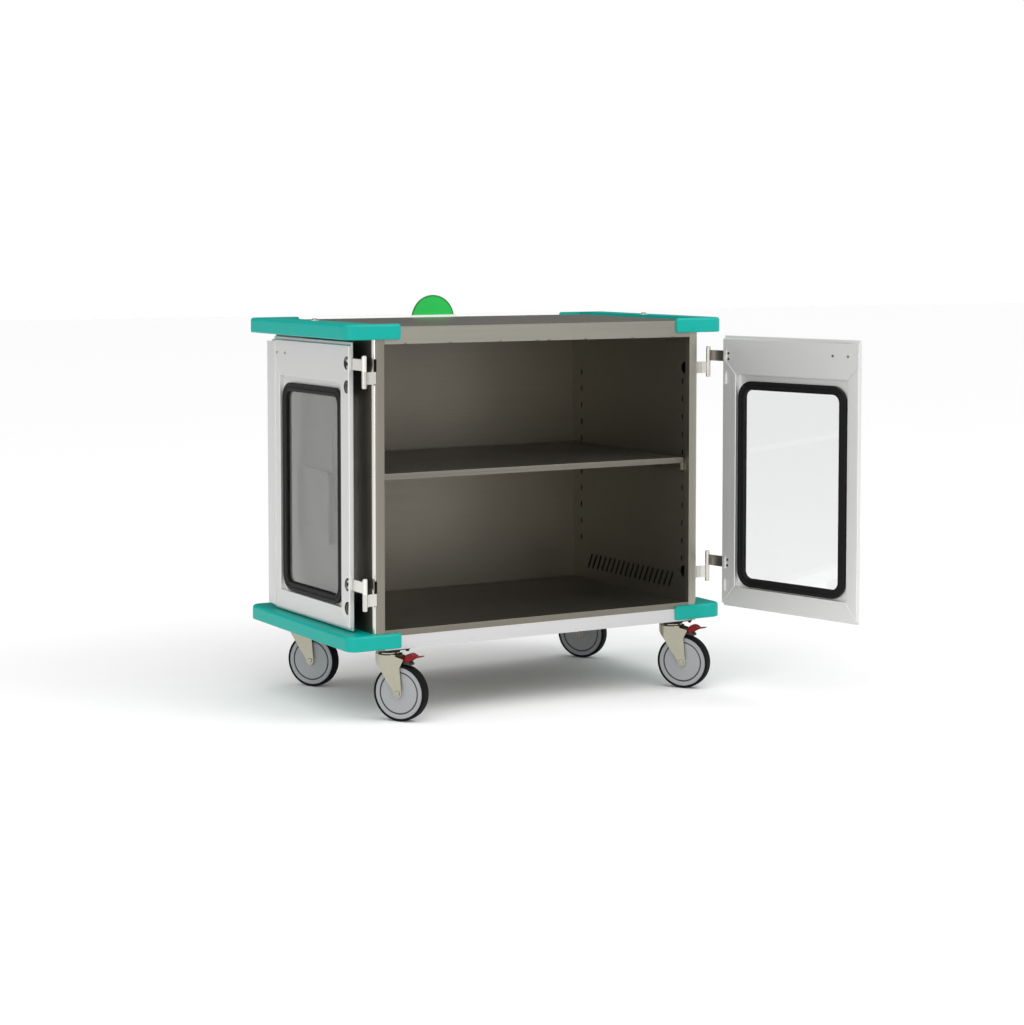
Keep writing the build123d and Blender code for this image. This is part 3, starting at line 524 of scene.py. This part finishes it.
# Fork: a drawn channel, round in front, cut to two legs by its side outline, under a round crown
fork = {"inside": 19 * mm, "outside": 22 * mm, "front": 13.4 * mm, "behind": -54 * mm, "low": 60 * mm,
        "top": 182 * mm, "shadeBelow": 178.3 * mm, "axleRadius": 5 * mm, "axleLength": 44 * mm,
        "headRadius": 7 * mm, "headThick": 3 * mm, "headMiddle": 23.5 * mm}
channel = [(fork["outside"], fork["behind"]), *arcPoints((0, fork["front"]), fork["outside"], 0, 180, 16),
           (-fork["outside"], fork["behind"]), (-fork["inside"], fork["behind"]),
           *arcPoints((0, fork["front"]), fork["inside"], 180, 0, 16), (fork["inside"], fork["behind"])]
forkModel = prism("forkModel", [(x, y, fork["low"]) for x, y in channel], (0, 0, fork["top"] - fork["low"]))
sideOutline = [(35.4, 176.4), (35.4, 166), (31.5, 158), (25, 149), (18.5, 142.5), (13.4, 135.5), (7.5, 127),
               (2.5, 119.5), (-1, 113), (-8, 102), (-17, 92), (-26, 77)]
sideOutline += arcPoints((-38, 75), 12, 0, -180, 12)[1:]
sideOutline += [(-50, 77), (-44, 143), (-54, 162), (-54, 166), (-31, 172), (-31, 176.4)]
outlineTool = prism("forkOutline", [(-30 * mm, y * mm, z * mm) for y, z in sideOutline], (60 * mm, 0, 0))
carve(forkModel, outlineTool, "INTERSECT")
softEdges(forkModel, 0.8 * mm)
paint(forkModel, zincPlate)
crown = traceLoop("forkCrown", [(r * mm, 0, z * mm) for r, z in [
    (7.1, 174.6), (28.6, 174.6), (28.6, 178.2), (30.4, 178.4), (31, 179), (31, 181.2), (30.2, 182),
    (7.1, 182)]])
spinClosed(crown, 48, (0, 0, 0), (0, 0, 1))
paint(crown, zincPlate)
# the lower part of the crown is painted near black, a painted shade line under its rim
paint(crown, shadeBlackZinc, lambda middle, normal: middle.z < fork["shadeBelow"])
forkModel = joinPieces("forkModel", [forkModel, crown])
for side in (-1, 1):
    bpy.ops.mesh.primitive_cylinder_add(vertices=32, radius=fork["headRadius"], depth=fork["headThick"],
                                        rotation=(0, pi / 2, 0),
                                        location=(side * fork["headMiddle"], axleAt[1], axleAt[2]))
    head = bpy.context.active_object
    applyPlace(head)
    face = fork["headMiddle"] + fork["headThick"] / 2 - 0.1 * mm
    bevelEdges(head, 1.6 * mm, 4, lambda a, b, side=side, face=face: a.x * side > face and b.x * side > face)
    paint(head, zincPlate)
    forkModel = joinPieces("forkModel", [forkModel, head])
bpy.ops.mesh.primitive_cylinder_add(vertices=32, radius=fork["axleRadius"], depth=fork["axleLength"],
                                    rotation=(0, pi / 2, 0), location=axleAt)
axle = bpy.context.active_object
applyPlace(axle)
paint(axle, zincPlate)
forkModel = joinPieces("forkModel", [forkModel, axle])
smoothShade(forkModel)

# Swivel head: the plate, a raceway drum under it, the kingpin and its nut, and four bolt heads, all painted
# near black as painted shade under the bumper.
# Each fastener has its place, radius, lowest and highest height in mm, and its number of sides.
plate = {"x": 39.5 * mm, "y": 32 * mm, "corner": 8 * mm, "low": 187.8 * mm, "thick": 3 * mm,
         "fasteners": [((0, 0), 7, 174, 188, 32), ((0, 0), 10, 173.8, 178.6, 6),
                       *[((x, y), 5, 182.8, 187.8, 6) for x in (-40, 40) for y in (-32, 32)]]}
plateOutline = []
for start, handX, handY in ((0, 1, 1), (90, -1, 1), (180, -1, -1), (270, 1, -1)):
    plateOutline += arcPoints((handX * plate["x"], handY * plate["y"]), plate["corner"], start, start + 90, 6)
plateModel = prism("plateModel", [(x, y, plate["low"]) for x, y in plateOutline], (0, 0, plate["thick"]))
softEdges(plateModel, 0.6 * mm)
paint(plateModel, shadeBlackZinc)
drum = traceLoop("racewayDrum", [(r * mm, 0, z * mm) for r, z in [
    (7.2, 182.4), (31.8, 182.4), (33, 183.4), (33, 186), (32, 187.8), (7.2, 187.8)]])
spinClosed(drum, 48, (0, 0, 0), (0, 0, 1))
paint(drum, shadeBlackZinc)
plateParts = [plateModel, drum]
for place, radius, low, high, sides in plate["fasteners"]:
    bpy.ops.mesh.primitive_cylinder_add(vertices=sides, radius=radius * mm, depth=(high - low) * mm,
                                        location=(place[0] * mm, place[1] * mm, (low + high) / 2 * mm))
    fastener = bpy.context.active_object
    applyPlace(fastener)
    softEdges(fastener, 0.5 * mm)
    paint(fastener, shadeBlackZinc)
    plateParts.append(fastener)
plateModel = joinPieces("plateModel", plateParts)
smoothShade(plateModel)

# Foot brake: a red wedge with a thin tail over a black shoe. Each part is as wide as it says, with its side
# outline as (ahead, up) pairs, in mm.
pedal = {
    "wedge": {"width": 26, "round": 1.2, "segments": 3, "finish": redNylon, "side": [
        (-29.5, 163), (-31, 165.2), (-34, 165.9), (-50, 165), (-55.5, 169), (-58, 176), (-61, 178.4),
        (-65, 179.7), (-69, 180), (-74, 179.4), (-80, 176), (-86, 171.5), (-86, 169), (-77, 165.5),
        (-66, 158), (-44, 157), (-36, 156.4), (-31, 157.6)]},
    "tail": {"width": 14, "round": 1.0, "segments": 2, "finish": redNylon, "side": [
        (-80, 168.5), (-103.2, 173.6), (-104, 174.6), (-103.2, 175.9), (-80, 173)]},
    "shoe": {"width": 25, "round": 0.6, "segments": 2, "finish": blackNylon, "side": [
        (-41, 157.4), (-44, 151.9), (-58, 151.6), (-69, 149.2), (-71, 149), (-71, 153), (-66, 158.4)]}}
pedalParts = []
for name, part in pedal.items():
    outline = [(-part["width"] / 2 * mm, y * mm, z * mm) for y, z in part["side"]]
    piece = prism("pedal" + name.title(), outline, (part["width"] * mm, 0, 0))
    softEdges(piece, part["round"] * mm, part["segments"])
    paint(piece, part["finish"])
    pedalParts.append(piece)
pedalModel = joinPieces("pedalModel", pedalParts)
smoothShade(pedalModel)

platePieces = []
for place in ("front_left", "front_right", "rear_left", "rear_right"):
    x, y, _ = joints[place + "_swivel"]["pos_m"]
    across = Vector(joints[place + "_roll"]["axis"])
    ahead = Vector((0, 0, 1)).cross(across)
    turn = Matrix((across, ahead, (0, 0, 1))).transposed().to_4x4()
    turn.translation = (x, y, 0)
    title = place.title().replace("_", "")
    stands(placeCopy(tyreModel, "tyre" + title, turn), "wheel_" + place, "tyre_" + place)
    stands(placeCopy(hubModel, "wheelHub" + title, turn), "wheel_" + place, "wheel_hub_" + place)
    stands(placeCopy(forkModel, "casterFork" + title, turn), "caster_" + place, "caster_fork_" + place)
    if place.startswith("front"):
        stands(placeCopy(pedalModel, "brakePedal" + title, turn), "pedal_" + place, "brake_pedal_" + place)
    platePieces.append(placeCopy(plateModel, "plate" + title, Matrix.Translation((x, y, 0))))
stands(joinPieces("casterPlates", platePieces), "cart", "caster_plates")
for model in (tyreModel, hubModel, forkModel, plateModel, pedalModel):
    bpy.data.objects.remove(model)
print("casters ready")

# Bumpers: a moulded band round each end of the cart, its corners, edges and return ends well rounded
bumper = {"x": 585 * mm, "y": 322 * mm, "corner": 30 * mm, "return": 430 * mm, "side": 507 * mm,
          "front": 312.5 * mm, "end": 9 * mm, "topRound": 8 * mm, "lowRound": 4 * mm}


def bumperOutline(inset, height):
    # the outside moves in by the inset; the wall against the cabinet stays
    end = max(bumper["end"] - inset, 0.6 * mm)
    wide, deep, start = bumper["x"] - inset, bumper["y"] - inset, bumper["return"] + inset * 0.9
    corner = bumper["corner"] - inset
    half = [(bumper["side"], bumper["front"]), (start, bumper["front"]),
            *arcPoints((start + end, deep - end), end, 180, 90, 8),
            *arcPoints((wide - corner, deep - corner), corner, 90, 0, 12)]
    return [(x, y, height) for x, y in [*half, *((x, -y) for x, y in reversed(half))]]


for level, low, high in (("top", 1001 * mm, 1042 * mm), ("bottom", 195 * mm, 235 * mm)):
    levels = []
    for step in range(6):
        turn = radians(step * 18)
        levels.append((bumper["lowRound"] * (1 - sin(turn)), low + bumper["lowRound"] * (1 - cos(turn))))
    for step in range(9):
        turn = radians(step * 11.25)
        levels.append((bumper["topRound"] * (1 - cos(turn)), high - bumper["topRound"] * (1 - sin(turn))))
    model = loftLevels("bumperModel", [bumperOutline(inset, height) for inset, height in levels])
    paint(model, bumperPlastic)
    smoothShade(model, 40)
    for hand, side in ((-1, "left"), (1, "right")):
        copy = placeCopy(model, level + "Bumper" + side.title(), Matrix.Diagonal((hand, 1, 1, 1)))
        stands(copy, "cart", f"{level}_bumper_{side}")
    bpy.data.objects.remove(model)

# Location studs: a bright washer under a domed cap, each from (radius, height) pairs in mm
stud = {"x": 528, "washer": [(0.01, 1042), (12, 1042), (12, 1043.1), (11.4, 1043.5), (0.01, 1043.5)],
        "cap": [(0.01, 1043), (7, 1043), (7, 1045.6), (6.4, 1046.9), (4.8, 1047.7), (0.01, 1048)]}
studs = []
for hand in (-1, 1):
    for part, plating in (("washer", brightZincAndHighlight), ("cap", zincPlate)):
        outline = [((hand * stud["x"] + r) * mm, 0, z * mm) for r, z in stud[part]]
        turned = traceLoop("stud" + part.title(), outline)
        spinClosed(turned, 40, (hand * stud["x"] * mm, 0, 0), (0, 0, 1))
        paint(turned, plating)
        studs.append(turned)
studPiece = joinPieces("bumperStuds", studs)
smoothShade(studPiece)
stands(studPiece, "cart", "bumper_studs")
print("bumpers ready")

# Window seals: one extruded section with a bead line, run round the opening and joined
seal = {"width": {"left": 358.2 * mm, "right": 373.2 * mm}, "near": 52 * mm, "height": 571 * mm,
        "middle": 584.5 * mm, "radius": 46 * mm, "steps": 12,
        "section": [(0, 4), (1.5, 2.6), (8.6, 2.5), (10.2, 4.2), (12.8, 4.2), (14.4, 2.5), (21, 2.9),
                    (23.6, 5), (24, 7), (24, 15.5), (22.5, 17), (1.5, 17), (0, 15.5)]}
# a door is measured from a point this far along it from the pin, and this far inwards
door = {"pin": (536.9 * mm, -317.2 * mm), "fromPin": 64.4 * mm, "inner": 12.2 * mm}


def sweepSeal(name, width):
    # the section is pulled up one side, spun round the corner, and so on round the four sides
    right, top = width / 2, seal["height"] / 2
    radius = seal["radius"]
    section = [(right - inset * mm, -depth * mm, radius - top) for inset, depth in seal["section"]]
    model = traceLoop(name, section)
    startEdit(model)
    bpy.ops.mesh.select_all(action="SELECT")
    runs = [((0, 0, 2 * (top - radius)), (right - radius, 0, top - radius)),
            ((-2 * (right - radius), 0, 0), (radius - right, 0, top - radius)),
            ((0, 0, -2 * (top - radius)), (radius - right, 0, radius - top)),
            ((2 * (right - radius), 0, 0), (right - radius, 0, radius - top))]
    for step, centre in runs:
        bpy.ops.mesh.extrude_region_move(TRANSFORM_OT_translate={"value": step})
        bpy.ops.mesh.spin(steps=seal["steps"], angle=pi / 2, center=centre, axis=(0, 1, 0))
    bpy.ops.mesh.select_all(action="SELECT")
    bpy.ops.mesh.remove_doubles(threshold=0.00002)
    outward(model)
    return model


doorPlaces = {}
for hand, side in ((-1, "left"), (1, "right")):
    opened = radians(joints[side + "_door_hinge"]["range_deg"][1])
    along = Vector((-hand * cos(opened), -sin(opened), 0))
    inward = Vector((-hand * sin(opened), cos(opened), 0))
    place = Matrix((along, inward, (0, 0, 1))).transposed().to_4x4()
    place.translation = (Vector((hand * door["pin"][0], door["pin"][1], 0)) + along * door["fromPin"]
                         + inward * door["inner"])
    doorPlaces[side] = place
    width = seal["width"][side]
    model = sweepSeal("sealModel", width)
    paint(model, sealRubber)
    smoothShade(model, 30)
    middle = place @ Matrix.Translation((seal["near"] + width / 2, 0, seal["middle"]))
    stands(placeCopy(model, side + "WindowSeal", middle), side + "_door", side + "_door_window_seal")
    bpy.data.objects.remove(model)
print("seals ready")

# Door and post profiles: extrusions with softened rims, so that each mitre shows as a fine groove
profile = {"doorRounds": {"stiles": 1.4 * mm, "rails": 1.4 * mm, "panel": 0.7 * mm}, "postRound": 0.8 * mm,
           "postCorner": 493 * mm, "pocketHeights": (298, 360, 877, 939), "pocketHalf": 17.4 * mm,
           "pocketAlong": (4 * mm, 28.4 * mm), "pocketDepths": (1.2 * mm, 6.2 * mm)}
for side in ("left", "right"):
    intoDoor = doorPlaces[side].inverted()

    # faces inside the door's hinge pockets, which get the painted shade
    def inShadedPocket(middle, normal):
        here = intoDoor @ middle
        near, far = profile["pocketAlong"]
        shallow, deep = profile["pocketDepths"]
        heights = profile["pocketHeights"]
        return (near < here.x < far and -deep < here.y < -shallow
                and any(abs(here.z - height * mm) < profile["pocketHalf"] for height in heights))

    for piece, rounding in profile["doorRounds"].items():
        copy = roundedCopy(f"{side}_door_{piece}", side + "_door", rounding)
        # only the left door's pockets get the painted shade
        if side == "left" and piece != "panel":
            paint(copy, pocketShadeCap, inShadedPocket)
for hand, side in ((-1, "left"), (1, "right")):
    copy = roundedCopy("front_post_" + side, "cart", profile["postRound"])

    # the outer corner's turned faces, which get the painted highlight
    def onHighlightCorner(middle, normal):
        turned = normal.x * hand > 0.6 and normal.y < -0.05
        return turned and abs(middle.x) > profile["postCorner"]

    paint(copy, highlightEdgeSteel, onHighlightCorner)
print("profiles ready")

# Status disc: a green sheet in a darker rim, turning on the pin in its bracket; (radius, depth) pairs in mm
disc = {"centre": (0, 318.2 * mm, 1028 * mm), "sheet": [(4.05, -1.1), (67, -1.1), (67, 1.1), (4.05, 1.1)],
        "rim": [(66.5, -1.2), (66.9, -1.5), (69.9, -1.5), (70.5, -0.9), (70.5, 0.9), (69.9, 1.5),
                (66.9, 1.5), (66.5, 1.2)]}
discParts = []
for part, material in (("sheet", greenAcrylic), ("rim", rimAcrylic)):
    ring = traceLoop("discRing", [(radius * mm, disc["centre"][1] + depth * mm, disc["centre"][2])
                                  for radius, depth in disc[part]])
    spinClosed(ring, 96, disc["centre"], (0, 1, 0))
    paint(ring, material)
    discParts.append(ring)
discPiece = joinPieces("statusDisc", discParts)
smoothShade(discPiece)
stands(discPiece, "status_disc", "status_disc")

# Floor, room, lights and camera. Each wall: where it lies, how bright it is, how narrow its light falls.
# Each soft box: its place, what it points at, its size in metres and its power in watts.
studio = {"floorSize": 60, "floorDrop": 0.2 * mm, "floor": ("#ffffff", "#fcfcfc"), "horizon": 0.09,
          "overhead": 1.66, "behind": 0.26, "fade": (-0.1, 0.9), "skyTowards": (-0.3, -0.38, 0.875),
          "walls": [((-0.95, 0.3, 0), 0.62, 1), ((0.82, -0.57, 0), 0.6, 4), ((0.85, 0.5, 0), 0.5, 2)],
          "softBoxes": {"keySoftBox": ((2.0, -3.0, 4.2), (0, 0, 0.5), 2.2, 60),
                        "stripSoftBox": ((-4.6, -2.7, 1.3), (-0.4, -0.2, 0.6), 1.2, 15)}}
clearSelection()
bpy.ops.mesh.primitive_plane_add(size=studio["floorSize"], location=(0, 0, -studio["floorDrop"]))
floor = bpy.context.active_object
floor.name = "studioFloor"
floor.data.materials.append(grainedSurface("paleFloorPaint", *studio["floor"], 3.0 * mm, 0.7, 0.0))

# A bright room: most light falls from above and from the left, and the camera sees plain white.
world = bpy.data.worlds.new("studioWorld")
bpy.context.scene.world = world
world.use_nodes = True
room = world.node_tree
background = room.nodes["Background"]
background.inputs["Color"].default_value = (1, 1, 1, 1)
direction = addNode(room, "ShaderNodeTexCoord").outputs["Generated"]
raised = addNode(room, "ShaderNodeVectorMath", {0: direction, 1: studio["skyTowards"]},
                 operation="DOT_PRODUCT")
height = addNode(room, "ShaderNodeMapRange", {"Value": raised.outputs["Value"], "To Min": studio["horizon"],
                                              "To Max": studio["overhead"]})
roomLight = height.outputs[0]
for toWall, bright, narrow in studio["walls"]:
    facing = addNode(room, "ShaderNodeVectorMath", {0: direction, 1: toWall}, operation="DOT_PRODUCT")
    ahead = addNode(room, "ShaderNodeMath", {0: facing.outputs["Value"], 1: 0.0}, operation="MAXIMUM")
    lobe = addNode(room, "ShaderNodeMath", {0: ahead.outputs[0], 1: narrow}, operation="POWER")
    wall = addNode(room, "ShaderNodeMath", {0: lobe.outputs[0], 1: bright}, operation="MULTIPLY")
    roomLight = addNode(room, "ShaderNodeMath", {0: roomLight, 1: wall.outputs[0]}).outputs[0]
# least light comes from behind the cart, so its shadow reaches a little way behind it
parts = addNode(room, "ShaderNodeSeparateXYZ", {0: direction})
fade = addNode(room, "ShaderNodeMapRange", {"Value": parts.outputs["Y"], "From Min": studio["fade"][0],
                                            "From Max": studio["fade"][1], "To Min": 1.0,
                                            "To Max": studio["behind"]})
faded = addNode(room, "ShaderNodeMath", {0: roomLight, 1: fade.outputs[0]}, operation="MULTIPLY")
seen = addNode(room, "ShaderNodeLightPath")
strength = addNode(room, "ShaderNodeMix", {"Factor": seen.outputs["Is Camera Ray"], 2: faded.outputs[0],
                                           3: 1.0})
room.links.new(strength.outputs[0], background.inputs["Strength"])


def softBox(name, place, target, size, power):
    clearSelection()
    bpy.ops.object.light_add(type="AREA", location=place)
    light = bpy.context.active_object
    light.name = name
    light.data.shape = "SQUARE"
    light.data.size = size
    light.data.energy = power
    light.rotation_euler = (Vector(target) - Vector(place)).to_track_quat("-Z", "Y").to_euler()


for name, settings in studio["softBoxes"].items():
    softBox(name, *settings)

# The photograph's own view: 30 degrees round to the left, eye a little above the cart, shifted lens.
view = {"place": (-3.0996, -5.5199, 1.2499), "pitch": 86.544, "yaw": -29.975, "lens": 79.39, "shiftY": -0.13}
clearSelection()
bpy.ops.object.camera_add(location=view["place"], rotation=(radians(view["pitch"]), 0, radians(view["yaw"])))
camera = bpy.context.active_object
camera.data.sensor_fit = "HORIZONTAL"
camera.data.sensor_width = 36
camera.data.lens = view["lens"]
camera.data.shift_y = view["shiftY"]
bpy.context.scene.camera = camera
bpy.context.scene.view_settings.view_transform = "Standard"
print("studio ready")
